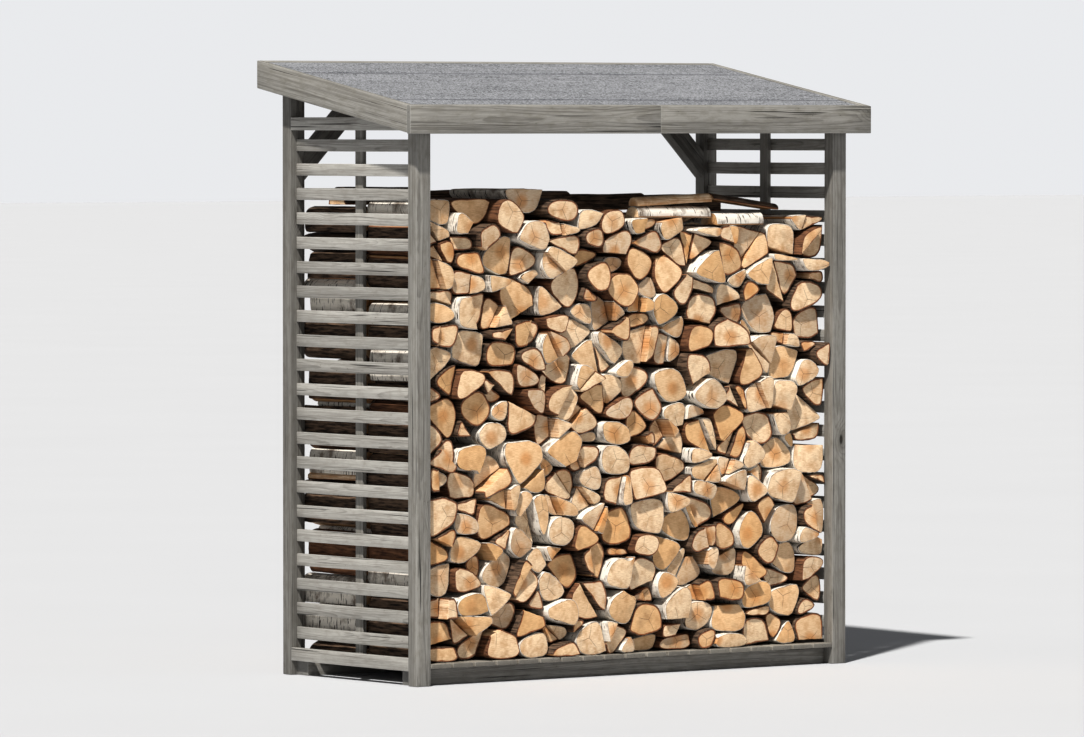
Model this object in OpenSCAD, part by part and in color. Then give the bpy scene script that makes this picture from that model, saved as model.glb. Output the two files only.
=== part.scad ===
/* [Frame] */
// Width over the outer faces of the posts
frame_w = 1736; // [1200:2:2400]
// Depth over the outer faces of the posts
frame_d = 712; // [500:2:1000]
// Post size from side to side
post_w = 55; // [45:1:90]
// Post size from front to back
post_d = 45; // [35:1:90]
// Height of the beams that join the posts under the roof
beam_h = 55; // [40:1:64]
// Length of a corner brace along the post and along the beam
brace_leg = 285; // [180:5:400]
// Width of a corner brace
brace_w = 60; // [40:1:80]

/* [Roof] */
// Height of the roof at its front edge
front_h = 1807; // [1400:1:2200]
// Slope of the roof in degrees, rising to the back
roof_pitch = 10; // [5:0.5:15]
// Overhang of the roof past the posts at each side
side_overhang = 62; // [30:1:120]
// Overhang of the roof past the posts at front and back
end_overhang = 52; // [30:1:120]
// Height of the fascia boards
fascia_h = 88; // [85:1:140]
// Thickness of the fascia boards
fascia_t = 18; // [12:1:25]
// How far the fascia stands above the felt
fascia_lip = 4; // [1:0.5:8]
// Place of the joint in the front fascia, measured from the middle
fascia_joint_x = 60; // [-400:5:400]
// Thickness of the roof boards
roof_board_t = 16; // [12:1:25]
// Width of one roof board with its gap
roof_board_pitch = 101; // [70:1:150]
// Gap between roof boards
roof_board_gap = 2; // [1:0.5:6]
// Thickness of the roofing felt
felt_t = 3; // [2:0.5:6]

/* [Side panels] */
// Thickness of the top and bottom rails
rail_t = 22; // [14:1:26]
// Height of the top and bottom rails
rail_h = 41; // [30:1:60]
// Height of the bottom rail above the ground
rail_z = 46; // [20:1:100]
// Distance from the lower end of the roof boards down to the top rail
rail_drop = 23; // [5:1:60]
// Thickness of the slats
slat_t = 17; // [10:1:20]
// Height of the slats
slat_h = 38; // [25:1:60]
// Distance from slat to slat, which is rounded to fill the panel
slat_pitch = 77.5; // [50:0.5:140]
// Gap between the outermost slats and the rails
slat_end_gap = 28; // [5:1:60]
// Width of the upright batten inside the slats
batten_w = 38; // [25:1:60]

/* [Floor] */
// Height of the two bearers
bearer_h = 54; // [40:1:90]
// Width of the two bearers
bearer_w = 60; // [40:1:90]
// Thickness of the floor boards
floor_t = 14; // [12:1:25]
// Width of one floor board with its gap, which is rounded to fill the floor
floor_pitch = 87; // [60:1:140]
// Gap between floor boards
floor_gap = 8; // [3:0.5:15]

/* [Firewood] */
// Distance from log to log across the stack, before they are split
log_pitch = 114; // [90:1:160]
// Gap left around each log
log_gap = 3; // [2:0.5:8]
// How far the foremost log ends stand behind the faces of the posts
log_setback = 3; // [0:1:20]
// How much further back the other log ends stand, at most
log_stagger = 60; // [0:1:80]
// Gap between the front row and the rear row, at least
row_gap = 16; // [6:1:60]
// Length of the logs that lie crosswise on the stack
cross_len = 300; // [200:5:340]
// Room between the front beam and the front row, at its left side
room_left = 222; // [150:1:900]
// The same room at the highest place of the front row
room_crest = 190; // [150:1:900]
// The same room where the front row steps down, left of the middle
room_step = 258; // [150:1:900]
// The same room at the shelf where the first log lies crosswise
room_shelf = 288; // [150:1:900]
// The same room at the lowest place of the front row
room_dip = 314; // [150:1:900]
// The same room at the right side of the front row
room_right = 270; // [150:1:900]
// The same room over the rear row, at its left side
room_rear_left = 246; // [150:1:900]
// The same room over the rear row, at its right side
room_rear_right = 286; // [150:1:900]
// Number that picks the arrangement of the logs
wood_seed = 41; // [1:1:999]

/* [Hidden] */

timber = "#8f8b83";
timber_pale = "#a3a098";
felt_grey = "#83858c";
wood_cut = "#d9b98c";

// Outline of the roof, with the origin on the ground under its middle
roof_w = frame_w + 2 * side_overhang;
roof_d = frame_d + 2 * end_overhang;
deck_w = roof_w - 2 * fascia_t;
deck_d = roof_d - 2 * fascia_t;

// Heights along the slope, all measured straight up at a place y
rise = tan(roof_pitch);
function roof_z(y) = front_h + (y + roof_d / 2) * rise;
function felt_z(y) = roof_z(y) - fascia_lip;
function deck_z(y) = felt_z(y) - felt_t;
function under_z(y) = deck_z(y) - roof_board_t;

// Faces of the posts
post_x = frame_w / 2;
post_in_x = post_x - post_w;
post_y = frame_d / 2;
post_in_y = post_y - post_d;

// Side panels: rail, slat and batten lie in three layers through the post's width
slat_x = post_x - rail_t;
batten_x = slat_x - slat_t;
batten_t = batten_x - post_in_x;
top_rail_z = under_z(-post_y) - rail_drop - rail_h;
slat_low = rail_z + rail_h + slat_end_gap;
slat_high = top_rail_z - slat_end_gap - slat_h;
slat_count = round((slat_high - slat_low) / slat_pitch) + 1;
slat_step = (slat_high - slat_low) / (slat_count - 1);

// Floor
floor_z = bearer_h;
floor_top = bearer_h + floor_t;
floor_side_gap = 2;
floor_w = 2 * post_in_x - 2 * floor_side_gap;
floor_count = round((floor_w + floor_gap) / floor_pitch);
floor_step = (floor_w + floor_gap) / floor_count;

// Firewood
wood_side_gap = 5;
wood_w = 2 * post_in_x - 2 * wood_side_gap;
wood_low = floor_top + 1;
wood_cols = round(wood_w / log_pitch);
col_step = wood_w / wood_cols;
row_step = 0.55 * col_step;
bay_count = 5;
FRONT = 0;
REAR = 1;
beam_low = under_z(-post_y) - beam_h;

// A bar with a sloping top that follows the underside of the roof boards
module bar_to_roof(x0, x1, y0, y1, z0) {
    side = [[y0, z0], [y1, z0], [y1, under_z(y1)], [y0, under_z(y0)]];
    along_x(x0, x1) polygon(side);
}

// Extrudes an outline drawn in y and z from x0 to x1
module along_x(x0, x1) {
    translate([x0, 0, 0])
        rotate([90, 0, 90])
            linear_extrude(x1 - x0)
                children();
}

// Extrudes an outline drawn in x and z from y0 to y1
module along_y(y0, y1) {
    translate([0, y1, 0])
        rotate([90, 0, 0])
            linear_extrude(y1 - y0)
                children();
}

// A plain bar between two corners
module bar(low, high) {
    translate(low) cube(high - low);
}

module post(side, end) {
    x0 = side > 0 ? post_in_x : -post_x;
    y0 = end > 0 ? post_in_y : -post_y;
    color(timber) bar_to_roof(x0, x0 + post_w, y0, y0 + post_d, 0);
}

// The beam's height is measured at its lower side
module beam(end) {
    y0 = end > 0 ? post_in_y : -post_y;
    color(timber) bar_to_roof(-post_in_x, post_in_x, y0, y0 + post_d, under_z(y0) - beam_h);
}

module brace(side) {
    top = under_z(post_in_y) - beam_h;
    cut = brace_w * sqrt(2);
    outline = [
        [post_in_x, top - brace_leg],
        [post_in_x, top - brace_leg + cut],
        [post_in_x - brace_leg + cut, top],
        [post_in_x - brace_leg, top],
    ];
    color(timber)
        mirror([side > 0 ? 0 : 1, 0, 0])
            along_y(post_in_y, post_y) polygon(outline);
}

module bearer(end) {
    y0 = end > 0 ? post_in_y - bearer_w : -post_in_y;
    color(timber) bar([-slat_x, y0, 0], [slat_x, y0 + bearer_w, bearer_h]);
}

module floor_boards() {
    board_w = floor_step - floor_gap;
    color(timber)
        for (i = [0 : floor_count - 1]) {
            x0 = -floor_w / 2 + i * floor_step;
            bar([x0, -post_y, floor_z], [x0 + board_w, post_y, floor_top]);
        }
}

module rail(side, z) {
    x0 = side > 0 ? slat_x : -post_x;
    color(timber_pale) bar([x0, -post_in_y, z], [x0 + rail_t, post_in_y, z + rail_h]);
}

module slats(side) {
    x0 = side > 0 ? batten_x : -slat_x;
    color(timber_pale)
        for (i = [0 : slat_count - 1]) {
            z = slat_low + i * slat_step;
            bar([x0, -post_in_y, z], [x0 + slat_t, post_in_y, z + slat_h]);
        }
}

module batten(side) {
    x0 = side > 0 ? post_in_x : -batten_x;
    color(timber)
        bar([x0, -batten_w / 2, rail_z], [x0 + batten_t, batten_w / 2, top_rail_z + rail_h]);
}

module roof_boards() {
    count = round((deck_w + roof_board_gap) / roof_board_pitch);
    step = (deck_w + roof_board_gap) / count;
    y = deck_d / 2;
    side = [[-y, under_z(-y)], [y, under_z(y)], [y, deck_z(y)], [-y, deck_z(-y)]];
    color(timber)
        for (i = [0 : count - 1]) {
            x0 = -deck_w / 2 + i * step;
            along_x(x0, x0 + step - roof_board_gap) polygon(side);
        }
}

module roof_felt() {
    y = deck_d / 2;
    side = [[-y, deck_z(-y)], [y, deck_z(y)], [y, felt_z(y)], [-y, felt_z(-y)]];
    color(felt_grey) along_x(-deck_w / 2, deck_w / 2) polygon(side);
}

// A front or rear fascia stands upright, and its top follows the slope
module fascia_end(end, x0, x1) {
    y0 = end > 0 ? deck_d / 2 : -roof_d / 2;
    y1 = y0 + fascia_t;
    side = [[y0, roof_z(y0) - fascia_h], [y1, roof_z(y0) - fascia_h], [y1, roof_z(y1)], [y0, roof_z(y0)]];
    color(timber_pale) along_x(x0, x1) polygon(side);
}

// A side fascia runs from the front fascia to the rear edge, past the rear fascia's end
module fascia_side(side) {
    x0 = side > 0 ? deck_w / 2 : -roof_w / 2;
    y0 = -deck_d / 2;
    y1 = roof_d / 2;
    outline = [[y0, roof_z(y0) - fascia_h], [y1, roof_z(y1) - fascia_h], [y1, roof_z(y1)], [y0, roof_z(y0)]];
    color(timber_pale) along_x(x0, x0 + fascia_t) polygon(outline);
}

// Firewood. Each log is a cell around a centre, cut off halfway to the centres next to it.
// Centres sit on a loose grid, and most cells are split in two or three like a split log.
// An outline's corner is [x, z, keep]: keep is 1 at the sharp corners of a split face.

// A repeatable number from 0 to 1 for place i, j in one row of logs
function chance(i, j, k, row) =
    let (v = 4759 * sin(127.1 * i + 311.7 * j + 74.7 * k + 269.5 * row + 17.3 * wood_seed))
    v - floor(v);

// Height of the top of a row, at places across its width
FRONT_ROOM = [
    [-0.50, room_left], [-0.31, room_left], [-0.29, room_crest], [-0.14, room_crest],
    [-0.12, room_step], [-0.01, room_step], [0.01, room_shelf], [0.19, room_shelf],
    [0.21, room_dip], [0.36, room_dip], [0.44, room_right], [0.50, room_right],
];
REAR_ROOM = [[-0.5, room_rear_left], [0.5, room_rear_right]];
function stack_z(x, row) = beam_low - lookup(x / wood_w, row == FRONT ? FRONT_ROOM : REAR_ROOM);

// Lowest top over the width of one log
function top_near(x, row) = min([for (side = [-0.5, 0, 0.5]) stack_z(x + side * col_step, row)]);

// Logs on top of each other in column i
function column_x(i) = -wood_w / 2 + (i + 0.5) * col_step;
function log_count(i, row) = round((top_near(column_x(i), row) - wood_low) / row_step);

// Centre of a log, as x, z and a size that pushes its neighbours away
function log_site(i, j, row) = [
    column_x(i) + ((j % 2 == 0 ? 0.1 : -0.1) + 0.4 * (chance(i, j, 0, row) - 0.5)) * col_step,
    wood_low + (top_near(column_x(i), row) - wood_low) / log_count(i, row)
        * (j + 0.5 + 0.5 * (chance(i, j, 1, row) - 0.5) + 0.5 * (i % 2 - 0.5)),
    1.3 * row_step * row_step * (chance(i, j, 2, row) - 0.5),
];

// Keeps the part of a convex outline where n * p <= d, and marks the new corners
function cut_off(outline, n, d, keep) = [
    for (i = [0 : 1 : len(outline) - 1])
        let (
            a = outline[i],
            b = outline[(i + 1) % len(outline)],
            fa = n.x * a.x + n.y * a.y - d,
            fb = n.x * b.x + n.y * b.y - d,
            cut = a + (b - a) * fa / (fa - fb)
        )
            each concat(fa <= 0 ? [a] : [], fa * fb < 0 ? [[cut.x, cut.y, keep]] : [])
];

// Cuts an outline by a list of [direction, distance] pairs
function cut_all(outline, cuts, k = 0) =
    k == len(cuts) || len(outline) < 3 ? outline
    : cut_all(cut_off(outline, cuts[k][0], cuts[k][1], 0), cuts, k + 1);

// The cuts between a log and the logs around it
function log_cuts(i, j, row, site) = [
    for (di = [-2 : 2], dj = [-2 : 2])
        if ((di != 0 || dj != 0) && i + di >= 0 && i + di < wood_cols
            && j + dj >= 0 && j + dj < log_count(i + di, row))
            let (
                other = log_site(i + di, j + dj, row),
                e = [other.x - site.x, other.y - site.y],
                far = norm(e)
            )
            [e / far, (far * far + site.z - other.z) / (2 * far) - log_gap / 2]
];

// Space for a log around its centre, inside the posts, the floor and the stack's top
function log_space(site, row) =
    let (reach = 1.2 * col_step)
    [
        [max(-reach, -wood_w / 2 - site.x), max(-reach, wood_low - site.y)],
        [min(reach, wood_w / 2 - site.x), min(reach, top_near(site.x, row) - site.y)]
    ];

// Outline of a cell around its centre
function log_cell(i, j, row, site, space) =
    let (low = space[0], high = space[1])
    cut_all(
        [[low.x, low.y, 0], [high.x, low.y, 0], [high.x, high.y, 0], [low.x, high.y, 0]],
        log_cuts(i, j, row, site)
    );

// Both sides of outlines split along a line that is turned and stands a distance off
function split_all(outlines, turn, d) =
    let (n = [cos(turn), sin(turn)])
    [
        for (outline = outlines)
            each [
                cut_off(outline, n, d - log_gap / 2, 1),
                cut_off(outline, -n, -d - log_gap / 2, 1)
            ]
    ];

// How far an outline reaches in a direction
function reach(outline, n) = max([for (p = outline) n.x * p.x + n.y * p.y]);

// A half log: a cell that is flat on one side, with sharp corners there
function half_log(cell, turn, share) =
    let (n = [cos(turn), sin(turn)], high = reach(cell, n), low = -reach(cell, -n))
    cut_off(cell, n, high - share * (high - low), 1);

// The logs that a cell becomes: a round one, a half log lying on either side, or two quarters
round_share = 0.2;
quarter_share = 0.28;
flat_share = 0.11;
half_turn = 56;
quarter_turn = 110;
function split_cell(cell, i, j, row) =
    let (
        side = chance(i, j, 4, row) < 0.5 ? 90 : -90,
        lean = chance(i, j, 5, row) - 0.5,
        d = 0.3 * col_step * (chance(i, j, 8, row) - 0.5),
        c = chance(i, j, 3, row)
    )
    len(cell) < 3 || c < round_share ? [cell]
    : c < 1 - quarter_share ? [half_log(cell, side + half_turn * lean, flat_share)]
    : split_all([cell], quarter_turn * lean, d);

// Middle of the corners of an outline
function middle(outline) =
    let (ones = [for (p = outline) 1])
    [ones * [for (p = outline) p.x], ones * [for (p = outline) p.y]] / len(outline);

// A log turned and shrunk a little inside its cell, so that the stack looks loose
settle_turn = 3;
settle_scale = 0.976;
function settled(outline, c, space) =
    let (m = middle(outline), turn = settle_turn * (2 * c - 1), low = space[0], high = space[1])
    [
        for (p = outline)
            let (
                x = settle_scale * (p.x - m.x),
                z = settle_scale * (p.y - m.y),
                turned = [m.x + x * cos(turn) - z * sin(turn), m.y + x * sin(turn) + z * cos(turn)]
            )
                [max(low.x, min(high.x, turned.x)), max(low.y, min(high.y, turned.y)), p.z]
    ];

// Drops corners that stand closer together than the shortest side
shortest_side = 7;
function tidy(outline) = [
    for (i = [0 : 1 : len(outline) - 1])
        let (p = outline[i], next = outline[(i + 1) % len(outline)])
            if (norm([next.x - p.x, next.y - p.y]) > shortest_side) p
];

// Cuts every corner that isn't kept sharp, which rounds the bark side
function rounded(outline, times) =
    times == 0 || len(outline) < 3 ? outline
    : rounded([
        for (i = [0 : 1 : len(outline) - 1])
            let (
                p = outline[i],
                last = outline[(i + len(outline) - 1) % len(outline)],
                next = outline[(i + 1) % len(outline)]
            )
                each p.z == 1 ? [p] : [0.75 * p + 0.25 * last, 0.75 * p + 0.25 * next]
    ], times - 1);

// Corners of an outline without their marks
function flat(outline) = [for (p = outline) [p.x, p.y]];

// The finished outline of a log, where a splinter with under three sides gives none
function log_outline(corners, c, space) =
    len(corners) < 3 ? [] : flat(rounded(settled(corners, c, space), 2));

// Area of an outline
function area(outline, k = 0) =
    k >= len(outline) ? 0 : cross(outline[k], outline[(k + 1) % len(outline)]) / 2 + area(outline, k + 1);

// One bay of a row of logs, with the logs lying front to back
smallest_log = 1000;
module firewood(row, bay) {
    first = round((bay - 1) * wood_cols / bay_count);
    last = round(bay * wood_cols / bay_count) - 1;
    color(wood_cut)
        mirror([0, row == FRONT ? 0 : 1, 0])
            for (i = [first : last], j = [0 : log_count(i, row) - 1]) {
                site = log_site(i, j, row);
                space = log_space(site, row);
                logs = split_cell(log_cell(i, j, row, site, space), i, j, row);
                for (k = [0 : len(logs) - 1]) {
                    y0 = -post_y + log_setback + log_stagger * chance(i, j, 9 + k, row);
                    y1 = -row_gap / 2 - 0.25 * log_stagger * chance(i, j, 12 + k, row);
                    outline = log_outline(tidy(logs[k]), chance(i, j, 15 + k, row), space);
                    if (area(outline) > smallest_log)
                        along_y(y0, y1) translate([site.x, site.y]) polygon(outline);
                }
            }
}

// A half log that lies crosswise on the stack, with its flat side down
module cross_log(x, y, z, tilt, turn, length, width, height) {
    outline = [
        [-width / 2, 0, 1], [width / 2, 0, 1], [0.47 * width, 0.55 * height, 0],
        [0.2 * width, height, 0], [-0.25 * width, 0.95 * height, 0], [-0.48 * width, 0.5 * height, 0],
    ];
    translate([x, y, z])
        rotate([0, tilt, turn])
            rotate([90, 0, 90])
                linear_extrude(length)
                    polygon(flat(rounded(outline, 2)));
}

// Three logs on the front row: two on the shelf, one in the dip, and a slab behind it
module firewood_on_front() {
    y = -post_in_y;
    shelf = 0.025 * wood_w;
    dip = 0.22 * wood_w;
    z_shelf = stack_z(shelf, FRONT) + 1;
    z_dip = stack_z(dip, FRONT) + 1;
    z_slab = stack_z(0.44 * wood_w, FRONT) + 1;
    cross_log(shelf, y + 24, z_shelf, 0, 0.5, cross_len, 64, 36);
    cross_log(shelf + 6, y + 30, z_shelf + 38, -1.6, -1, cross_len, 56, 30);
    cross_log(dip + 4, y + 16, z_dip, 0, 1, 0.66 * cross_len, 56, 40);
    cross_log(dip + 44, y + 96, z_slab + 38, 7.4, 2, 0.93 * cross_len, 74, 22);
}

// A line of logs along the rear row
module firewood_on_rear() {
    side_gap = 12;
    end_gap = 9;
    count = floor((wood_w - 2 * side_gap + end_gap) / (cross_len + end_gap));
    for (i = [0 : count - 1]) {
        x = -wood_w / 2 + side_gap + i * (cross_len + end_gap);
        z = max(stack_z(x, REAR), stack_z(x + cross_len, REAR)) + 1;
        turn = 2 - 3 * (i % 2);
        cross_log(x, post_in_y - 150 + 12 * (i % 2), z, 0, turn, cross_len, 84, 58 - 4 * (i % 2));
    }
}

module firewood_on_top() {
    color(wood_cut) {
        firewood_on_front();
        firewood_on_rear();
    }
}

post(-1, -1);  // post_front_left
post(1, -1);  // post_front_right
post(-1, 1);  // post_rear_left
post(1, 1);  // post_rear_right
beam(-1);  // beam_front
beam(1);  // beam_rear
brace(-1);  // brace_rear_left
brace(1);  // brace_rear_right
bearer(-1);  // bearer_front
bearer(1);  // bearer_rear
floor_boards();
rail(-1, top_rail_z);  // top_rail_left
rail(1, top_rail_z);  // top_rail_right
rail(-1, rail_z);  // bottom_rail_left
rail(1, rail_z);  // bottom_rail_right
slats(-1);  // slats_left
slats(1);  // slats_right
batten(-1);  // batten_left
batten(1);  // batten_right
roof_boards();
roof_felt();
fascia_end(-1, -roof_w / 2, fascia_joint_x);  // fascia_front_left
fascia_end(-1, fascia_joint_x, roof_w / 2);  // fascia_front_right
fascia_end(1, -deck_w / 2, deck_w / 2);  // fascia_rear
fascia_side(-1);  // fascia_left
fascia_side(1);  // fascia_right
firewood(FRONT, 1);  // firewood_front_1
firewood(FRONT, 2);  // firewood_front_2
firewood(FRONT, 3);  // firewood_front_3
firewood(FRONT, 4);  // firewood_front_4
firewood(FRONT, 5);  // firewood_front_5
firewood(REAR, 1);  // firewood_rear_1
firewood(REAR, 2);  // firewood_rear_2
firewood(REAR, 3);  // firewood_rear_3
firewood(REAR, 4);  // firewood_rear_4
firewood(REAR, 5);  // firewood_rear_5
firewood_on_top();
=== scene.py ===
import math
import random

import bpy
import numpy as np
from mathutils import Euler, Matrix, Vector, noise


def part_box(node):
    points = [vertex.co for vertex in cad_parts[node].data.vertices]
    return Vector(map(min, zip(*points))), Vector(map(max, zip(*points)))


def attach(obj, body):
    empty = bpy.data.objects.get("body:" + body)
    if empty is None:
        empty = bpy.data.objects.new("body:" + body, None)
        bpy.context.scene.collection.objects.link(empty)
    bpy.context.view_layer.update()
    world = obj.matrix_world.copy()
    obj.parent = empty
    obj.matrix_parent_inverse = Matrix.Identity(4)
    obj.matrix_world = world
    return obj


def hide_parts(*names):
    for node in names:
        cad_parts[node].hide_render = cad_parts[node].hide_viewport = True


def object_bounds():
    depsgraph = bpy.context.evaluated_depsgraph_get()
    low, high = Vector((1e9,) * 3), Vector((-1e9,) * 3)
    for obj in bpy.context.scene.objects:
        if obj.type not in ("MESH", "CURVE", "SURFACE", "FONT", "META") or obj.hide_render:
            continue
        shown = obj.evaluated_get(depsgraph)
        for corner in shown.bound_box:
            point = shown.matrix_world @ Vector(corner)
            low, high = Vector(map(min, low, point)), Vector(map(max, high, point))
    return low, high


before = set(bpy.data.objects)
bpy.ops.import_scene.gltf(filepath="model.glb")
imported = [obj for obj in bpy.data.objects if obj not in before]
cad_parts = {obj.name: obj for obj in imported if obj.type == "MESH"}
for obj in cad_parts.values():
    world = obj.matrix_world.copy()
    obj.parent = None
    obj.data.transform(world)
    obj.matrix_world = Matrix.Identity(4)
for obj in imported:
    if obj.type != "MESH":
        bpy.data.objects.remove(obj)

cad_low, cad_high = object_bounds()

# The looks of a log store: weathered timber, mineral roofing felt and stacked split firewood.
# Lengths are in metres. Every timber and log is built from its solid in the frame.

MM = 0.001
SEED = 20

# Camera: where it stands, which way it turns from +Y towards +X, and how far it looks down
CAMERA_PLACE = (-14.988, -19.309, 1.752)
CAMERA_TURN = math.radians(37.63)
CAMERA_DOWN = math.radians(1.845)
CAMERA_LENS = 253.0
SENSOR_WIDTH = 36.0
CAMERA_CLIP = 400

# Sun: direction of its rays, and its power
SUN_RAYS = (1.0, 0.71, -1.71)
SUN_POWER = 4.9
SUN_ANGLE = math.radians(2.5)
SUN_COLOR = (1.0, 0.97, 0.92)

# Sky: brightness near the horizon and overhead, and the heights between which it fades
HORIZON = 0.80
ZENITH = 0.12
FADE_FROM, FADE_TO = 0.06, 0.5
SKY_COLOR = (0.97, 0.98, 1.0, 1.0)

# Floor: how far it reaches, and the gap that keeps it just under the posts
FLOOR_REACH = 120.0
FLOOR_GAP = 0.5 * MM

# View: a gamma under 1 deepens the shadows, as on a sunny day
VIEW_GAMMA = 0.84
VIEW_EXPOSURE = 0.12


# ---------------------------------------------------------------- solids of the frame

def solids_of(node):
    """The separate solids of a CAD node, each as an array of its corners."""
    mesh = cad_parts[node].data
    places = np.array([v.co for v in mesh.vertices])
    keys = {}
    joined = np.array([keys.setdefault(tuple(np.round(p, 6)), len(keys)) for p in places])
    parent = list(range(len(keys)))

    def root(i):
        while parent[i] != i:
            parent[i] = parent[parent[i]]
            i = parent[i]
        return i

    for face in mesh.polygons:
        corners = [joined[i] for i in face.vertices]
        for i in corners[1:]:
            parent[root(i)] = root(corners[0])
    corners = np.array(list(keys))
    groups = {}
    for i in range(len(corners)):
        groups.setdefault(root(i), []).append(i)
    return [corners[group] for group in groups.values()]


def axes_along(direction):
    """Two axes square to a direction, as near as possible to the row frame's axes."""
    along = direction / np.linalg.norm(direction)
    helper = np.array([0.0, 0.0, 1.0]) if abs(along[2]) < 0.9 else np.array([0.0, 1.0, 0.0])
    across = np.cross(helper, along)
    across /= np.linalg.norm(across)
    return along, across, np.cross(along, across)


def by_angle(points, centre, across, up):
    """Points sorted round a centre."""
    angle = np.arctan2((points - centre) @ up, (points - centre) @ across)
    return points[np.argsort(angle)]


# ---------------------------------------------------------------- meshes

class MeshMaker:
    """Collects vertices, faces and vertex attributes, and turns them into one piece."""

    def __init__(self):
        self.places = []
        self.faces = []
        self.attributes = {}

    def add(self, places, faces, **attributes):
        first = len(self.places)
        self.places.extend(places)
        self.faces.extend([tuple(first + i for i in face) for face in faces])
        for name, values in attributes.items():
            self.attributes.setdefault(name, []).extend(values)

    def piece(self, name, material, replaces=(), sharp=40):
        mesh = bpy.data.meshes.new(name)
        mesh.from_pydata([tuple(p) for p in self.places], [], self.faces)
        for key, values in self.attributes.items():
            values = np.array(values, np.float32)
            kind, field = ("FLOAT", "value") if values.ndim == 1 else ("FLOAT_VECTOR", "vector")
            mesh.attributes.new(key, kind, "POINT").data.foreach_set(field, values.ravel())
        mesh.polygons.foreach_set("use_smooth", [True] * len(mesh.polygons))
        mesh.set_sharp_from_angle(angle=math.radians(sharp))
        mesh.materials.append(material)
        mesh.validate()
        thing = bpy.data.objects.new(name, mesh)
        bpy.context.scene.collection.objects.link(thing)
        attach(thing, "root")
        if replaces:
            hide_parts(*replaces)
        return thing


def tube_faces(rings, count):
    """Faces between rings of count points each, and a closing face at each end."""
    faces = []
    for r in range(rings - 1):
        for k in range(count):
            a, b = r * count + k, r * count + (k + 1) % count
            faces.append((a, b, b + count, a + count))
    faces.append(tuple(reversed(range(count))))
    faces.append(tuple(range((rings - 1) * count, rings * count)))
    return faces


# ---------------------------------------------------------------- timber

BOARD_STEP = 0.09               # distance between the rings of a board
ARRIS_SHARE = 0.293             # how far a rounded arris cuts the corner, in radii
TONE_RANGE = (0.88, 1.12)       # brightness from board to board
PITH_ASIDE = 0.02               # how far the pith of the tree lies to the side of a board, at most
PITH_DEPTHS = (0.018, 0.05)     # how far it lies behind or in front of the board
GRAIN_RANGE = (0, 40)           # where along the grain a board is cut from


def board_rings(start, end, rounding, bow, rng):
    """Rings of a board with rounded arrises between two end faces of four corners each."""
    length = np.linalg.norm(end.mean(0) - start.mean(0))
    steps = max(4, int(length / BOARD_STEP))
    inner = np.linspace(rounding / length, 1 - rounding / length, steps)
    soft = ARRIS_SHARE * rounding
    stations = [(0.0, rounding), (soft / length, soft)]
    stations += [(t, 0.0) for t in inner]
    stations += [(1 - soft / length, soft), (1.0, rounding)]
    push = np.array([rng.uniform(-bow, bow) for _ in range(3)])
    rings = []
    for t, inset in stations:
        corners = start * (1 - t) + end * t
        ring = []
        for k in range(4):
            corner = corners[k]
            back = corners[k - 1] - corner
            ahead = corners[(k + 1) % 4] - corner
            back, ahead = back / np.linalg.norm(back), ahead / np.linalg.norm(ahead)
            corner = corner + inset * (back + ahead)
            r = rounding
            ring += [corner + r * back, corner + soft * (back + ahead), corner + r * ahead]
        ring = np.array(ring) + push * math.sin(math.pi * t)
        rings.append(ring)
    return rings


def add_board(maker, solid, rounding, bow, tone_and_painted_shade, rng):
    """One board, post or rail, from the eight corners of its solid."""
    size = solid.max(0) - solid.min(0)
    axis = int(np.argmax(size))
    order = np.argsort(solid[:, axis], kind="stable")
    start, end = solid[order[:4]], solid[order[4:]]
    along, across, up = axes_along(end.mean(0) - start.mean(0))
    start = by_angle(start, start.mean(0), across, up)
    end = by_angle(end, end.mean(0), across, up)
    rings = board_rings(start, end, rounding, bow, rng)
    places = np.concatenate(rings)
    centre = solid.mean(0)
    thick_is_up = np.ptp((start - centre) @ up) < np.ptp((start - centre) @ across)
    wide, thin = (across, up) if thick_is_up else (up, across)
    side = rng.choice((-1, 1))
    pith = (rng.uniform(-PITH_ASIDE, PITH_ASIDE), side * rng.uniform(*PITH_DEPTHS))
    local = np.stack([
        (places - centre) @ along + rng.uniform(*GRAIN_RANGE),
        (places - centre) @ wide + pith[0],
        (places - centre) @ thin + pith[1],
    ], axis=1)
    count = 12
    edge = np.tile([0.0, 1.0, 0.0] * 4, len(rings))
    edge[:2 * count] = 1.0
    edge[-2 * count:] = 1.0
    tip = np.zeros(len(places))
    tip[:count] = 1.0
    tip[-count:] = 1.0
    # painted shade: the first tone value is a random tone times the board's painted shade factor
    tone = np.tile([tone_and_painted_shade * rng.uniform(*TONE_RANGE), rng.random(), rng.random()], (len(places), 1))
    maker.add(places, tube_faces(len(rings), count), grain=local, tone=tone, edge=edge, tip=tip)


def timber(name, nodes, material, rounding=1.6 * MM, bow=0.4 * MM, tone_and_painted_shade=1.0):
    """One piece with all the boards of some CAD nodes."""
    rng = random.Random(f"{SEED}{name}")
    maker = MeshMaker()
    for node in nodes:
        for solid in solids_of(node):
            add_board(maker, solid, rounding, bow, tone_and_painted_shade, rng)
    return maker.piece(name, material, nodes)


# ---------------------------------------------------------------- firewood

def smooth_line(points, rounds=1):
    """Cuts the corners of an open line, whose ends stay."""
    for _ in range(rounds):
        ahead = points[1:]
        near, far = 0.75 * points[:-1] + 0.25 * ahead, 0.25 * points[:-1] + 0.75 * ahead
        inner = np.stack([near, far], axis=1).reshape(-1, 2)[1:-1]
        points = np.concatenate([points[:1], inner, points[-1:]])
    return points


def resample(points, spacing):
    """Points at even distances along a line, which leaves out the last one."""
    steps = np.linalg.norm(np.diff(points, axis=0), axis=1)
    run = np.concatenate([[0], np.cumsum(steps)])
    count = max(2, int(round(run[-1] / spacing)))
    at = np.linspace(0, run[-1], count, endpoint=False)
    return np.stack([np.interp(at, run, points[:, 0]), np.interp(at, run, points[:, 1])], axis=1)


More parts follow.
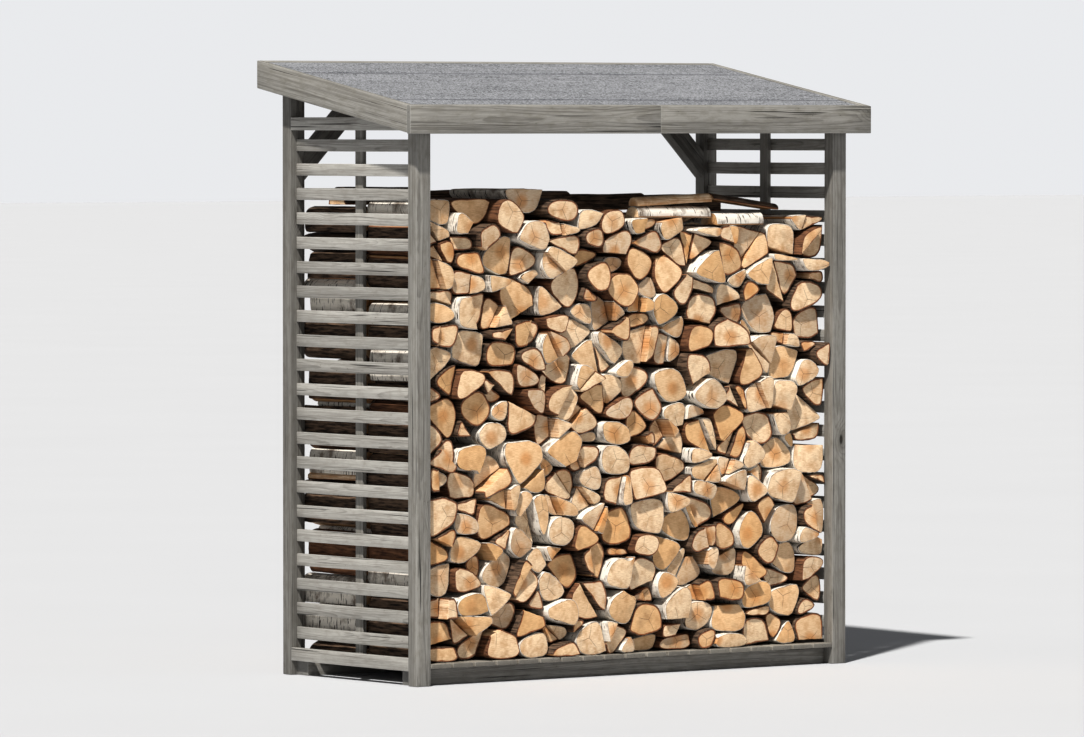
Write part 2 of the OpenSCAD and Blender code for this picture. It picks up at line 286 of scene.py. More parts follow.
OUTLINE_SPACING = 5.5 * MM
SHARP_TURN = 42     # degrees of turn at a corner over which it is the edge of a split face
FLAT_TURN = 8       # degrees of bend up to which the line between two such corners is a split face
HEART_ASIDE = 6     # how many millimetres a round log's heart lies off its middle, at most


def turns_of(outline):
    """How many degrees the outline turns at each corner."""
    ahead = np.roll(outline, -1, axis=0) - outline
    before = outline - np.roll(outline, 1, axis=0)
    cross = before[:, 0] * ahead[:, 1] - before[:, 1] * ahead[:, 0]
    return np.degrees(np.arctan2(cross, (before * ahead).sum(1)))


def log_shape(outline, rng):
    """The outline of a log as points, which of them carry bark, and where the heart lies.

    A line between two sharp corners is a split face when it is straight, and bark when it bends.
    """
    turns = turns_of(outline)
    sharp = np.where(turns > SHARP_TURN)[0]
    middle = outline.mean(0)
    if len(sharp) < 2:
        around = np.concatenate([outline, outline[:1]])
        points = resample(smooth_line(around), OUTLINE_SPACING)
        heart = middle + np.array([rng.uniform(-HEART_ASIDE, HEART_ASIDE) for _ in range(2)]) * MM
        return points, np.ones(len(points)), heart
    points, bark, flats = [], [], []
    for k, first in enumerate(sharp):
        last = sharp[(k + 1) % len(sharp)]
        span = (last - first) % len(outline) or len(outline)
        line = outline[[(first + i) % len(outline) for i in range(span + 1)]]
        bend = sum(turns[(first + i) % len(outline)] for i in range(1, span))
        flat = bend < FLAT_TURN
        part = resample(line if flat else smooth_line(line), OUTLINE_SPACING)
        points.append(part)
        bark.append(np.full(len(part), 0.0 if flat else 1.0))
        if flat:
            flats.append((line[0], line[-1]))
    if not flats:
        heart = middle
    elif len(flats) == 1:
        heart = (flats[0][0] + flats[0][1]) / 2
    else:
        ends = [end for flat in flats for end in flat]
        gaps = [(np.linalg.norm(a - b), tuple((a + b) / 2)) for i, a in enumerate(ends)
                for b in ends[i + 1:]]
        heart = np.array(min(gaps)[1])
    return np.concatenate(points), np.concatenate(bark), heart


# The kind of a log is a number: under BIRCH_SHARE it is birch, then brown, then red, and over 1 bare
BIRCH_SHARE, BROWN_SHARE = 0.45, 0.32
BIRCH_KIND, BROWN_KIND, BARE_KIND = 0.1, BIRCH_SHARE + 0.1, 1.1
BIRCH_BARK, BROWN_BARK, RED_BARK = 3 * MM, 8 * MM, 5 * MM   # thickness of the bark
LOG_STEP = 0.04                 # distance between the rings of a log
LOG_TWIST = 0.012               # how far a log leans aside along its length, at most
END_LEAN = 0.10                 # slope of a sawn end, at most
BEVEL = 1.2 * MM                # broken edge round a sawn end
LOG_SHARP = 38                  # angle over which an edge of a log stays sharp
PANEL_REACH = 0.23              # logs this near the roof's ends lie beside a side panel
PANEL_SHADE_SHARE = 0.4             # share of those given dark brown bark as painted shade from the side panel
THICK_LOG = 70 * MM             # crosswise logs over this width are brown
THIN_LOG = 58 * MM              # crosswise logs under this width, on top of another, are bare
SECOND_LAYER = 1.46             # height over which a crosswise log lies on top of another


BARK_WAVE, BARK_GRIT = 2.0 * MM, 0.9 * MM
SPLIT_WAVE, SPLIT_RIDGE, SPLIT_INSET = 2.0 * MM, 1.8 * MM, 0.9 * MM


def rough_offset(place, u, bark, phase):
    """How far a log's surface stands out or in: ridges along bark, torn fibres along split faces."""
    x, y = place
    broad = noise.noise(Vector((x * 24 + phase, y * 24, u * 7)))
    if bark > 0.5:
        return BARK_WAVE * broad + BARK_GRIT * noise.noise(Vector((x * 120, y * 120 + phase, u * 18)))
    ridges = noise.noise(Vector((x * 75, y * 75 + phase, u * 4)))
    return SPLIT_WAVE * broad + SPLIT_RIDGE * ridges - SPLIT_INSET


def log_frame(solid):
    """Centre, axes, length and end outline of a log's straight solid."""
    centre = (solid.max(0) + solid.min(0)) / 2
    along = np.linalg.svd(solid - solid.mean(0))[2][0]
    along = along * np.sign(along[np.argmax(np.abs(along))])
    along, across, up = axes_along(along)
    at = (solid - centre) @ along
    length = np.ptp(at)
    end = solid[at < at.min() + 0.5 * length]
    end = np.stack([(end - centre) @ across, (end - centre) @ up], axis=1)
    angle = np.arctan2(*(end - end.mean(0)).T[::-1])
    return centre + along * (at.max() + at.min()) / 2, along, across, up, length, end[np.argsort(angle)]


def log_kind(centre, width, rng):
    """The kind of a log. Logs that lie crosswise, which have a width here, get theirs by place."""
    kind, panel_shade_draw = rng.random(), rng.random()
    # painted shade: some logs beside a side panel get dark brown bark for the panel's shadow
    beside_panel = abs(centre[0]) > cad_high.x - PANEL_REACH
    if beside_panel and panel_shade_draw < PANEL_SHADE_SHARE:
        return BROWN_KIND
    if width is None:
        return kind
    if centre[1] > 0 or width > THICK_LOG:
        return BROWN_KIND
    return BARE_KIND if width < THIN_LOG and centre[2] > SECOND_LAYER else BIRCH_KIND


def add_log(maker, solid, rng, crosswise=False):
    """One split log with sawn ends, bark, split faces and slight bends."""
    centre, along, across, up, length, outline = log_frame(solid)
    points, bark, heart = log_shape(outline, rng)
    count = len(points)
    mean = points.mean(0)
    outward = points - mean
    outward /= np.linalg.norm(outward, axis=1)[:, None] + 1e-9
    lean = [(rng.uniform(-END_LEAN, END_LEAN), rng.uniform(-END_LEAN, END_LEAN)) for _ in range(2)]
    phase = rng.uniform(0, 100)
    twist = np.array([rng.uniform(-1, 1), rng.uniform(-1, 1)]) * LOG_TWIST
    sections = max(3, int(length / LOG_STEP))
    kind = log_kind(centre, np.ptp(outline[:, 0]) if crosswise else None, rng)
    if kind > 1:
        bark = 0 * bark
    thick = RED_BARK
    if kind < BIRCH_SHARE + BROWN_SHARE:
        thick = BIRCH_BARK if kind < BIRCH_SHARE else BROWN_BARK
    depth = BIRCH_BARK + (thick - BIRCH_BARK) * bark[:, None]
    places, barks, caps, coords = [], [], [], []

    def put(flat_points, distance, barks_here, cap):
        for (v, w), b in zip(flat_points, barks_here):
            u = distance(v, w)
            sv, sw = v + twist[0] * u, w + twist[1] * u
            places.append(centre + u * along + sv * across + sw * up)
            barks.append(b)
            caps.append(cap)
            coords.append((u, v - heart[0], w - heart[1]))

    def end_plane(which, inset):
        sign = -1 if which == 0 else 1
        return lambda v, w: sign * (length / 2 - inset) + lean[which][0] * v + lean[which][1] * w

    def skin(u):
        """The outline a distance u along the log, roughened."""
        off = [rough_offset(points[k], u, bark[k], phase) for k in range(count)]
        return points + outward * np.array(off)[:, None]

    def end(which):
        rim = skin(-length / 2 if which == 0 else length / 2)
        inner = rim - outward * depth
        rings = [
            ([mean], end_plane(which, 0), [0.0], 1.0),
            (inner, end_plane(which, 0), [0.0] * count, 1.0),
            (rim - outward * BEVEL, end_plane(which, 0.3 * BEVEL), bark, 1.0),
            (rim, end_plane(which, 1.5 * BEVEL), bark, 0.0),
        ]
        for ring in rings if which == 0 else reversed(rings):
            put(*ring)

    end(0)
    for s in range(1, sections):
        u = -length / 2 + length * s / sections
        put(skin(u), lambda v, w, u=u: u, bark, 0.0)
    end(1)
    rings = sections + 5
    faces = []
    for r in range(rings - 1):
        for k in range(count):
            a, b = 1 + r * count + k, 1 + r * count + (k + 1) % count
            faces.append((a, b, b + count, a + count))
    last = len(places) - 1
    for k in range(count):
        faces.append((0, 1 + (k + 1) % count, 1 + k))
        faces.append((last, last - count + k, last - count + (k + 1) % count))
    tone = np.tile([rng.random(), rng.random(), rng.random()], (len(places), 1))
    kinds = np.full(len(places), kind)
    maker.add(places, faces, grain=coords, bark=barks, cap=caps, tone=tone, kind=kinds)


def firewood(node, material):
    rng = random.Random(f"{SEED}{node}")
    maker = MeshMaker()
    for solid in solids_of(node):
        add_log(maker, solid, rng, node == "firewood_on_top")
    return maker.piece(f"{node}_logs", material, [node], sharp=LOG_SHARP)


# ---------------------------------------------------------------- roofing felt

FELT_LAPS = (0.125, 0.60)       # where the strips overlap, measured from the felt's front edge
LAP_STEP = 1.1 * MM             # rise at each lap
LAP_EDGE = 0.6 * MM             # half the width over which it rises
FELT_COLUMNS, FELT_ROWS = 220, 90
FELT_THICKNESS = 3 * MM
FELT_INSET = 0.3 * MM           # how far the middle strip lies under the CAD sheet's top


def felt_surface(low, high, laps):
    """Points of the felt's top in rows from front to rear, and how many there are each way."""
    solid = solids_of("roof_felt")[0]
    z_front = solid[solid[:, 1] < 0][:, 2].max()
    z_rear = solid[solid[:, 1] > 0][:, 2].max()
    columns = np.linspace(low.x, high.x, FELT_COLUMNS)
    steps = [lap + side * LAP_EDGE for lap in laps for side in (-1, 1)]
    rows = sorted(list(np.linspace(low.y, high.y, FELT_ROWS)) + steps)
    places = []
    for y in rows:
        slope = z_front + (y - low.y) / (high.y - low.y) * (z_rear - z_front)
        strips = sum(y > lap for lap in laps)
        for x in columns:
            wave = 1.0 * MM * noise.noise(Vector((x * 3.1, y * 8, 4)))
            wave += 0.5 * MM * noise.noise(Vector((x * 13, y * 22, 9)))
            places.append((x, y, slope + wave + LAP_STEP * (strips - 1) - FELT_INSET))
    return places, len(columns), len(rows)


def roofing_felt():
    """Felt in overlapping strips along the roof, slightly wavy, inside the CAD sheet's outline."""
    low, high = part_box("roof_felt")
    laps = [low.y + lap for lap in FELT_LAPS]
    places, across, down = felt_surface(low, high, laps)
    faces = []
    for r in range(down - 1):
        for c in range(across - 1):
            a = r * across + c
            faces.append((a, a + 1, a + across + 1, a + across))
    rim = list(range(across))
    rim += [r * across + across - 1 for r in range(1, down)]
    rim += [(down - 1) * across + c for c in range(across - 2, -1, -1)]
    rim += [r * across for r in range(down - 2, 0, -1)]
    under = len(places)
    places += [(places[i][0], places[i][1], places[i][2] - FELT_THICKNESS) for i in rim]
    for k in range(len(rim)):
        after = (k + 1) % len(rim)
        faces.append((rim[k], under + k, under + after, rim[after]))
    faces.append(tuple(under + k for k in reversed(range(len(rim)))))
    maker = MeshMaker()
    maker.add(places, faces)
    return maker.piece("roof_felt_sheet", mineral_felt(laps), ["roof_felt"], sharp=60)


# ---------------------------------------------------------------- materials

class Nodes:
    """A short way to write a material's nodes."""

    def __init__(self, name):
        self.material = bpy.data.materials.new(name)
        self.material.use_nodes = True
        self.tree = self.material.node_tree
        self.tree.nodes.clear()
        self.out = self.tree.nodes.new("ShaderNodeOutputMaterial")
        self.shader = self.tree.nodes.new("ShaderNodeBsdfPrincipled")
        self.tree.links.new(self.shader.outputs[0], self.out.inputs[0])

    def link(self, value, socket):
        if isinstance(value, bpy.types.NodeSocket):
            self.tree.links.new(value, socket)
        elif value is not None:
            if hasattr(socket.default_value, "__len__") and not isinstance(value, (int, float)):
                value = tuple(value) + (1.0,) * (len(socket.default_value) - len(value))
            socket.default_value = value

    def attribute(self, name, output="Vector"):
        node = self.tree.nodes.new("ShaderNodeAttribute")
        node.attribute_name = name
        return node.outputs[output]

    def math(self, operation, a, b=None, c=None, clamp=False):
        node = self.tree.nodes.new("ShaderNodeMath")
        node.operation = operation
        node.use_clamp = clamp
        for value, socket in zip((a, b, c), node.inputs):
            self.link(value, socket)
        return node.outputs[0]

    def vector(self, operation, a, b=None, scale=None):
        node = self.tree.nodes.new("ShaderNodeVectorMath")
        node.operation = operation
        self.link(a, node.inputs[0])
        self.link(b, node.inputs[1])
        if scale is not None:
            self.link(scale, node.inputs["Scale"])
        return node.outputs["Value" if operation == "LENGTH" else "Vector"]

    def split(self, vector):
        node = self.tree.nodes.new("ShaderNodeSeparateXYZ")
        self.link(vector, node.inputs[0])
        return node.outputs

    def join(self, x, y, z):
        node = self.tree.nodes.new("ShaderNodeCombineXYZ")
        for value, socket in zip((x, y, z), node.inputs):
            self.link(value, socket)
        return node.outputs[0]

    def noise(self, vector, scale=1.0, detail=2.0, rough=0.5, color=False):
        node = self.tree.nodes.new("ShaderNodeTexNoise")
        self.link(vector, node.inputs["Vector"])
        node.inputs["Scale"].default_value = scale
        node.inputs["Detail"].default_value = detail
        node.inputs["Roughness"].default_value = rough
        return node.outputs["Color" if color else "Fac"]

    def voronoi(self, vector, scale=1.0, output="Distance"):
        node = self.tree.nodes.new("ShaderNodeTexVoronoi")
        self.link(vector, node.inputs["Vector"])
        node.inputs["Scale"].default_value = scale
        return node.outputs[output]

    def remap(self, value, low, high, to_low=0.0, to_high=1.0, smooth=False):
        node = self.tree.nodes.new("ShaderNodeMapRange")
        node.interpolation_type = "SMOOTHSTEP" if smooth else "LINEAR"
        for v, socket in zip((value, low, high, to_low, to_high), node.inputs):
            self.link(v, socket)
        return node.outputs[0]

    def mix(self, share, a, b):
        node = self.tree.nodes.new("ShaderNodeMix")
        node.data_type = "RGBA"
        self.link(share, node.inputs["Factor"])
        self.link(a, node.inputs[6])
        self.link(b, node.inputs[7])
        return node.outputs[2]

    def bump(self, height, strength, distance):
        node = self.tree.nodes.new("ShaderNodeBump")
        node.inputs["Strength"].default_value = strength
        node.inputs["Distance"].default_value = distance
        self.link(height, node.inputs["Height"])
        return node.outputs[0]

    def finish(self, color, roughness, normal=None, specular=0.3):
        self.link(color, self.shader.inputs["Base Color"])
        self.link(roughness, self.shader.inputs["Roughness"])
        self.link(normal, self.shader.inputs["Normal"])
        self.shader.inputs["Specular IOR Level"].default_value = specular
        return self.material


def srgb(r, g, b):
    """A colour given as 0 to 255 on the screen, in linear light."""
    return tuple(((c / 255 + 0.055) / 1.055) ** 2.4 if c > 10 else c / 255 / 12.92 for c in (r, g, b))


def stretched(n, place, along, across):
    """A place along a board scaled apart lengthwise and crosswise, for streaks in the grain."""
    return n.vector("MULTIPLY", place, (along, across, across))


def weathered_timber(name, light, dark, stain, ring=3.1 * MM, wear_and_highlight=0.5):
    """Grey weathered softwood: growth rings cut lengthwise, fibres, cracks, pits, knots and stains."""
    n = Nodes(name)
    grain = n.attribute("grain")
    tone = n.split(n.attribute("tone"))

    # knots in some of the cells of a loose grid, with the grain bent round them
    cells = stretched(n, grain, 3.1, 7.5)
    knot = n.voronoi(cells)
    chosen = n.math("GREATER_THAN", n.split(n.voronoi(cells, output="Color"))[0], 0.45)
    knot = n.math("ADD", knot, n.math("MULTIPLY", n.math("SUBTRACT", 1.0, chosen), 2.0))
    swirl = n.remap(knot, 0.26, 0.03, 0.0, 0.010, smooth=True)

    # growth rings round a pith beside the board
    _, v, w = n.split(grain)
    bend = n.vector("SUBTRACT", n.noise(stretched(n, grain, 1.1, 8), detail=1, color=True), (0.5, 0.5, 0.5))
    _, dv, dw = n.split(n.vector("SCALE", bend, scale=0.036))
    wave = n.math("MULTIPLY", n.math("SUBTRACT", n.noise(stretched(n, grain, 14, 60)), 0.5), 0.0022)
    across = n.join(n.math("ADD", v, dv), n.math("ADD", w, dw), 0.0)
    radius = n.math("ADD", n.math("ADD", n.vector("LENGTH", across), swirl), wave)
    saw = n.math("FRACT", n.math("DIVIDE", radius, ring))
    late = n.math("MULTIPLY", n.remap(saw, 0.45, 0.9, smooth=True), n.remap(saw, 0.94, 1.0, 1.0, 0.0))

    fibre = n.noise(stretched(n, grain, 9, 520), detail=3, rough=0.6)
    streak = n.noise(stretched(n, grain, 2.4, 120), detail=4, rough=0.6)
    broad = n.noise(stretched(n, grain, 1.2, 26), detail=3)
    mottle = n.noise(stretched(n, grain, 22, 60), detail=4, rough=0.6)
    depth = n.math("ADD", n.math("MULTIPLY", late, 0.30), n.math("MULTIPLY_ADD", streak, 1.5, -0.72))
    depth = n.math("ADD", depth, n.math("MULTIPLY_ADD", fibre, 0.9, -0.42))
    depth = n.math("ADD", depth, n.math("MULTIPLY_ADD", broad, 0.8, -0.30), clamp=True)
    color = n.mix(depth, light, dark)
    color = n.mix(n.remap(mottle, 0.46, 0.72, 0.0, 0.65), color, stain)

    pit = n.voronoi(stretched(n, grain, 30, 95))
    pit = n.math("MULTIPLY", n.remap(pit, 0.10, 0.05), n.remap(mottle, 0.5, 0.6))
    color = n.mix(n.math("MULTIPLY", pit, 0.7), color, [c * 0.3 for c in dark])

    # knots: a brown heart with a dark crack round it
    heart = n.remap(knot, 0.052, 0.044)
    rim = n.math("MULTIPLY", n.remap(knot, 0.070, 0.054), n.remap(knot, 0.030, 0.046))
    halo = n.remap(knot, 0.17, 0.05, 0.0, 0.55, smooth=True)
    color = n.mix(halo, color, [c * 0.62 for c in stain])
    color = n.mix(n.math("MULTIPLY", heart, 0.8), color, [c * k for c, k in zip(stain, (0.50, 0.40, 0.32))])
    color = n.mix(n.math("MULTIPLY", rim, 0.8), color, [c * 0.12 for c in dark])

    # drying cracks along the grain
    split = n.noise(stretched(n, grain, 2.1, 170), detail=1)
    crack = n.remap(split, 0.685, 0.72)
    color = n.mix(n.math("MULTIPLY", crack, 0.85), color, [c * 0.14 for c in dark])

    # lighter arrises: partly wear, partly a painted highlight
    edge = n.math("MULTIPLY", n.attribute("edge", "Fac"), n.remap(streak, 0.3, 0.7, 0.6, 1.0))
    worn_and_highlit = [min(1, c * k) for c, k in zip(light, (1.38, 1.42, 1.48))]
    color = n.mix(n.math("MULTIPLY", edge, wear_and_highlight), color, worn_and_highlit)
    tip = n.math("MULTIPLY", n.attribute("tip", "Fac"), 0.45)
    color = n.mix(tip, color, [c * 0.5 for c in dark])
    # painted shade: the tone also darkens the boards given painted shade, such as the rear posts and braces
    color = n.vector("SCALE", color, scale=tone[0])

    height = n.math("SUBTRACT", n.math("MULTIPLY", late, 0.5), n.math("MULTIPLY", crack, 1.8))
    height = n.math("SUBTRACT", height, n.math("MULTIPLY", n.math("MAXIMUM", rim, pit), 1.2))
    height = n.math("ADD", height, n.math("ADD", fibre, n.math("MULTIPLY", streak, 0.8)))
    return n.finish(color, n.remap(streak, 0.3, 0.7, 0.72, 0.92), n.bump(height, 0.6, 1.0 * MM), 0.22)


def split_wood():
    """Split firewood: pale sawn ends with growth rings and radial cracks, fibrous split faces, and bark."""
    n = Nodes("split_wood")
    grain = n.attribute("grain")
    tone = n.split(n.attribute("tone"))
    kind = n.attribute("kind", "Fac")
    cap = n.attribute("cap", "Fac")
    side = n.math("SUBTRACT", 1.0, cap)
    u, v, w = n.split(grain)
    shifted = n.vector("ADD", grain, n.vector("SCALE", n.attribute("tone"), scale=40.0))
    su, sv, sw = n.split(shifted)
    wobble = n.vector("SUBTRACT", n.noise(shifted, 22, 1, color=True), (0.5, 0.5, 0.5))
    _, dv, dw = n.split(n.vector("SCALE", wobble, scale=0.010))
    rv, rw = n.math("ADD", v, dv), n.math("ADD", w, dw)
    radius = n.vector("LENGTH", n.join(rv, rw, 0.0))

    # wood: base colour, heartwood, rings and blotches
    pale, tan, grey = srgb(246, 224, 192), srgb(222, 180, 128), srgb(206, 192, 172)
    color = n.mix(n.remap(tone[0], 0.35, 1.0, 0.0, 0.9), pale, tan)
    color = n.mix(n.remap(tone[2], 0.7, 1.0, 0.0, 0.75), color, grey)
    heart = n.remap(radius, 0.034, 0.010, 0.0, 0.75, smooth=True)
    heart = n.math("MULTIPLY", heart, n.remap(tone[1], 0.4, 0.7))
    color = n.mix(heart, color, srgb(206, 146, 88))
    ring = n.math("FRACT", n.math("MULTIPLY", radius, n.remap(tone[1], 0, 1, 230, 380)))
    ring = n.remap(ring, 0.4, 1.0, 0.0, 1.0, smooth=True)
    color = n.mix(n.math("MULTIPLY", ring, 0.3), color, srgb(186, 136, 84))
    patch = n.noise(shifted, 30, 4, 0.6)
    color = n.mix(n.remap(patch, 0.45, 0.70, 0.0, 0.65), color, srgb(184, 140, 94))
    saw = n.noise(n.join(n.math("MULTIPLY", sv, 60), n.math("MULTIPLY", sw, 700), 0.0), detail=3)
    color = n.mix(n.math("MULTIPLY", n.remap(saw, 0.42, 0.66, 0.0, 0.5), cap), color, srgb(176, 130, 84))
    dirt = n.noise(shifted, 9, 3, 0.6)
    color = n.mix(n.remap(dirt, 0.56, 0.72, 0.0, 0.35), color, srgb(120, 92, 66))

    # split faces: long torn fibres, and a darker tone that is painted shade
    fine = n.join(n.math("MULTIPLY", su, 8), n.math("MULTIPLY", sv, 320), n.math("MULTIPLY", sw, 320))
    fibre = n.noise(fine, detail=4, rough=0.6)
    color = n.mix(n.math("MULTIPLY", n.remap(fibre, 0.40, 0.66, 0.1, 0.8), side), color, srgb(164, 112, 66))

    # radial cracks in the ends
    turn = n.math("ADD", n.math("ARCTAN2", rw, rv), n.math("MULTIPLY", tone[0], 40.0))
    beam = n.math("ABSOLUTE", n.math("SINE", n.math("MULTIPLY", turn, 1.5)))
    crack = n.remap(n.math("MULTIPLY", beam, radius), 0.0003, 0.0012, 1.0, 0.0)
    crack = n.math("MULTIPLY", crack, n.remap(tone[2], 0.3, 0.4))
    crack = n.math("MULTIPLY", crack, n.remap(radius, 0.05, 0.03, 0.0, 1.0, smooth=True))
    crack = n.math("MULTIPLY", crack, cap)
    color = n.mix(n.math("MULTIPLY", crack, 0.8), color, srgb(84, 54, 32))

    # bark: birch with dark dashes, rough brown bark, and reddish bark
    dash_place = n.join(n.math("MULTIPLY", su, 190), n.math("MULTIPLY", sv, 30), n.math("MULTIPLY", sw, 30))
    dash = n.noise(dash_place, detail=2)
    birch = n.mix(n.remap(dash, 0.60, 0.66), srgb(222, 216, 206), srgb(44, 38, 34))
    scar = n.noise(shifted, 13, 4, 0.65)
    birch = n.mix(n.remap(scar, 0.52, 0.66, 0.0, 0.85), birch, srgb(112, 98, 86))
    rough = n.join(n.math("MULTIPLY", su, 16), n.math("MULTIPLY", sv, 150), n.math("MULTIPLY", sw, 150))
    ridge = n.noise(rough, detail=4, rough=0.6)
    brown = n.mix(n.remap(ridge, 0.38, 0.62), srgb(40, 31, 25), srgb(112, 92, 76))
    red = n.mix(n.remap(ridge, 0.35, 0.65), srgb(64, 42, 31), srgb(132, 94, 68))
    bark_color = n.mix(n.math("GREATER_THAN", kind, BIRCH_SHARE), birch, brown)
    bark_color = n.mix(n.math("GREATER_THAN", kind, BIRCH_SHARE + BROWN_SHARE), bark_color, red)
    bark_value = n.attribute("bark", "Fac")
    bark = n.remap(bark_value, 0.55, 0.75)
    inner = n.mix(n.math("GREATER_THAN", kind, BIRCH_SHARE), srgb(150, 108, 72), srgb(142, 76, 40))
    inner = n.mix(n.remap(ridge, 0.4, 0.6, 0.0, 0.6), inner, srgb(84, 46, 28))
    color = n.mix(n.remap(bark_value, 0.08, 0.2, 0.0, 0.9), color, inner)
    color = n.mix(bark, color, bark_color)

    saw_height = n.math("MULTIPLY", n.math("MULTIPLY", saw, cap), 0.5)
    wood_height = n.math("ADD", n.math("MULTIPLY", fibre, side), saw_height)
    wood_height = n.math("SUBTRACT", wood_height, crack)
    bark_height = n.math("MULTIPLY", ridge, n.math("MULTIPLY", bark, 2.0))
    height = n.math("MULTIPLY", wood_height, n.math("SUBTRACT", 1.0, bark))
    normal = n.bump(n.math("ADD", height, bark_height), 0.7, 1.8 * MM)
    return n.finish(color, n.remap(bark, 0, 1, 0.74, 0.86), normal, 0.2)


def mineral_felt(laps):
    """Blue-grey mineral felt: chippings, streaks along the roll, stains, and a darker band in front of each
    lap.
    """
    n = Nodes("mineral_felt")
    place = n.tree.nodes.new("ShaderNodeTexCoord").outputs["Object"]
    chip = n.split(n.voronoi(place, 280, "Color"))[0]
    speck = n.noise(n.vector("MULTIPLY", place, (170, 90, 90)), detail=3, rough=0.75)
    streak = n.noise(n.vector("MULTIPLY", place, (7, 120, 1)), detail=4, rough=0.65)
    cloud = n.noise(n.vector("MULTIPLY", place, (2.2, 9, 1)), detail=4, rough=0.6)
    light, dark = srgb(160, 162, 167), srgb(66, 68, 72)
    shade = n.math("MULTIPLY_ADD", speck, 2.8, -1.15)
    shade = n.math("ADD", shade, n.math("MULTIPLY_ADD", chip, 0.9, -0.42))
    shade = n.math("ADD", shade, n.math("MULTIPLY_ADD", streak, 1.1, -0.50))
    shade = n.math("ADD", shade, n.math("MULTIPLY_ADD", cloud, 0.7, -0.34), clamp=True)
    color = n.mix(shade, light, dark)
    y = n.split(place)[1]
    edge = n.math("ADD", y, n.math("MULTIPLY_ADD", cloud, 0.02, -0.01))
    for lap in laps:
        band = n.remap(n.math("SUBTRACT", lap, edge), 0.0, 0.035, 1.0, 0.0, smooth=True)
        band = n.math("MULTIPLY", band, n.math("LESS_THAN", y, lap))
        color = n.mix(n.math("MULTIPLY", band, 0.55), color, srgb(78, 80, 86))
    height = n.math("ADD", n.voronoi(place, 650), n.math("MULTIPLY", speck, 1.5))
    return n.finish(color, 0.93, n.bump(height, 0.6, 0.9 * MM), 0.12)


def studio_floor():
    n = Nodes("studio_floor")
    place = n.tree.nodes.new("ShaderNodeTexCoord").outputs["Object"]
    shade = n.noise(place, 0.8, 2)
    return n.finish(n.mix(shade, srgb(196, 198, 202), srgb(193, 195, 199)), 0.9, None, 0.1)


# ---------------------------------------------------------------- the store

# light wood, dark wood and stain of each timber
frame_wood = weathered_timber(
    "frame_wood", srgb(150, 148, 143), srgb(82, 79, 75), srgb(114, 110, 103))
panel_wood = weathered_timber(
    "panel_wood", srgb(170, 168, 163), srgb(98, 95, 90), srgb(138, 134, 128), 2.8 * MM)
fascia_wood = weathered_timber(
    "fascia_wood", srgb(152, 150, 145), srgb(80, 77, 72), srgb(118, 115, 107), 3.4 * MM)
floor_wood = weathered_timber(
    "floor_wood", srgb(146, 142, 134), srgb(82, 77, 70), srgb(108, 100, 90))
roof_wood = weathered_timber(
    "roof_wood", srgb(138, 129, 116), srgb(84, 74, 63), srgb(108, 96, 82))
log_wood = split_wood()
# painted shade: the posts are darker towards the right and the rear, where the store's own shade falls on
# them
POST_PAINTED_SHADE = {
    ("front", "left"): 1.0, ("front", "right"): 0.88,
    ("rear", "left"): 0.72, ("rear", "right"): 0.72,
}

for side in ("left", "right"):
    for end in ("front", "rear"):
        shade = POST_PAINTED_SHADE[end, side]
        timber(f"{end}_{side}_post", [f"post_{end}_{side}"], frame_wood,
               rounding=2.5 * MM, tone_and_painted_shade=shade)
    # painted shade: the rear braces are darkened for the shade they stand in
    timber(f"{side}_brace", [f"brace_rear_{side}"], frame_wood, rounding=2 * MM, tone_and_painted_shade=0.6)
    timber(f"{side}_slats", [f"slats_{side}"], panel_wood, rounding=1.5 * MM, bow=0.8 * MM)
    timber(f"{side}_top_rail", [f"top_rail_{side}"], panel_wood)
    timber(f"{side}_bottom_rail", [f"bottom_rail_{side}"], panel_wood)
    timber(f"{side}_batten", [f"batten_{side}"], frame_wood)
    timber(f"{side}_fascia", [f"fascia_{side}"], fascia_wood, rounding=2 * MM)
for end in ("front", "rear"):
    timber(f"{end}_beam", [f"beam_{end}"], frame_wood, rounding=2 * MM)
    timber(f"{end}_bearer", [f"bearer_{end}"], frame_wood, rounding=2.5 * MM)
timber("front_fascia_left", ["fascia_front_left"], fascia_wood, rounding=2 * MM)
timber("front_fascia_right", ["fascia_front_right"], fascia_wood,
       rounding=2 * MM, tone_and_painted_shade=0.93)
timber("rear_fascia", ["fascia_rear"], fascia_wood, rounding=2 * MM)
timber("floor_planks", ["floor_boards"], floor_wood)
timber("roof_planks", ["roof_boards"], roof_wood, rounding=1 * MM)
roofing_felt()

for node in sorted(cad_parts):
    if node.startswith("firewood"):
        firewood(node, log_wood)


# ---------------------------------------------------------------- studio

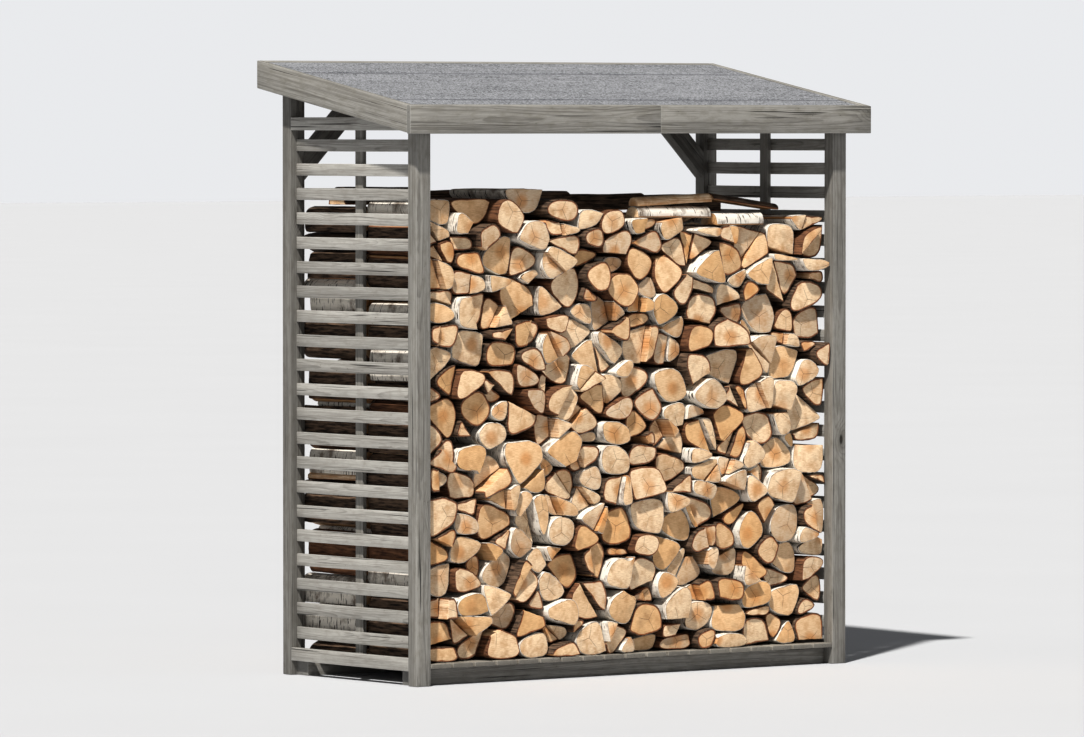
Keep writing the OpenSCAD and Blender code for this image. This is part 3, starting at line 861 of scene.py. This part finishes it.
def studio_sky():
    """A pale band at the horizon, as bright as the floor, under a softer sky."""
    scene = bpy.context.scene
    scene.world = bpy.data.worlds.new("studio")
    scene.world.use_nodes = True
    tree = scene.world.node_tree
    place = tree.nodes.new("ShaderNodeTexCoord").outputs["Generated"]
    split = tree.nodes.new("ShaderNodeSeparateXYZ")
    fade = tree.nodes.new("ShaderNodeMapRange")
    fade.interpolation_type = "SMOOTHSTEP"
    fade.inputs["From Min"].default_value = FADE_FROM
    fade.inputs["From Max"].default_value = FADE_TO
    fade.inputs["To Min"].default_value = HORIZON
    fade.inputs["To Max"].default_value = ZENITH
    background = tree.nodes["Background"]
    background.inputs["Color"].default_value = SKY_COLOR
    tree.links.new(place, split.inputs[0])
    tree.links.new(split.outputs[2], fade.inputs["Value"])
    tree.links.new(fade.outputs[0], background.inputs["Strength"])


def studio_ground():
    """A wide plain floor."""
    floor_mesh = bpy.data.meshes.new("studio_ground")
    far = FLOOR_REACH
    corners = [(-far, -far, 0), (far, -far, 0), (far, far, 0), (-far, far, 0)]
    floor_mesh.from_pydata(corners, [], [(0, 1, 2, 3)])
    floor_mesh.materials.append(studio_floor())
    ground = bpy.data.objects.new("studio_ground", floor_mesh)
    ground.location.z = cad_low.z - FLOOR_GAP
    bpy.context.scene.collection.objects.link(ground)


def studio_sun():
    """Sunlight from over the viewer's left shoulder."""
    sun = bpy.data.lights.new("sun", "SUN")
    sun.energy = SUN_POWER
    sun.angle = SUN_ANGLE
    sun.color = SUN_COLOR
    lamp = bpy.data.objects.new("sun", sun)
    lamp.rotation_mode = "QUATERNION"
    lamp.rotation_quaternion = Vector(SUN_RAYS).to_track_quat("-Z", "Y")
    bpy.context.scene.collection.objects.link(lamp)


def studio_camera():
    """The camera at the photo's angle, and how its picture is developed."""
    camera = bpy.data.cameras.new("camera")
    camera.lens = CAMERA_LENS
    camera.sensor_width = SENSOR_WIDTH
    camera.clip_end = CAMERA_CLIP
    eye = bpy.data.objects.new("camera", camera)
    eye.location = CAMERA_PLACE
    eye.rotation_euler = Euler((math.pi / 2 - CAMERA_DOWN, 0, -CAMERA_TURN))
    bpy.context.scene.collection.objects.link(eye)
    bpy.context.scene.camera = eye
    view = bpy.context.scene.view_settings
    view.view_transform = "Standard"
    view.gamma = VIEW_GAMMA
    view.exposure = VIEW_EXPOSURE


studio_ground()
studio_sky()
studio_sun()
studio_camera()
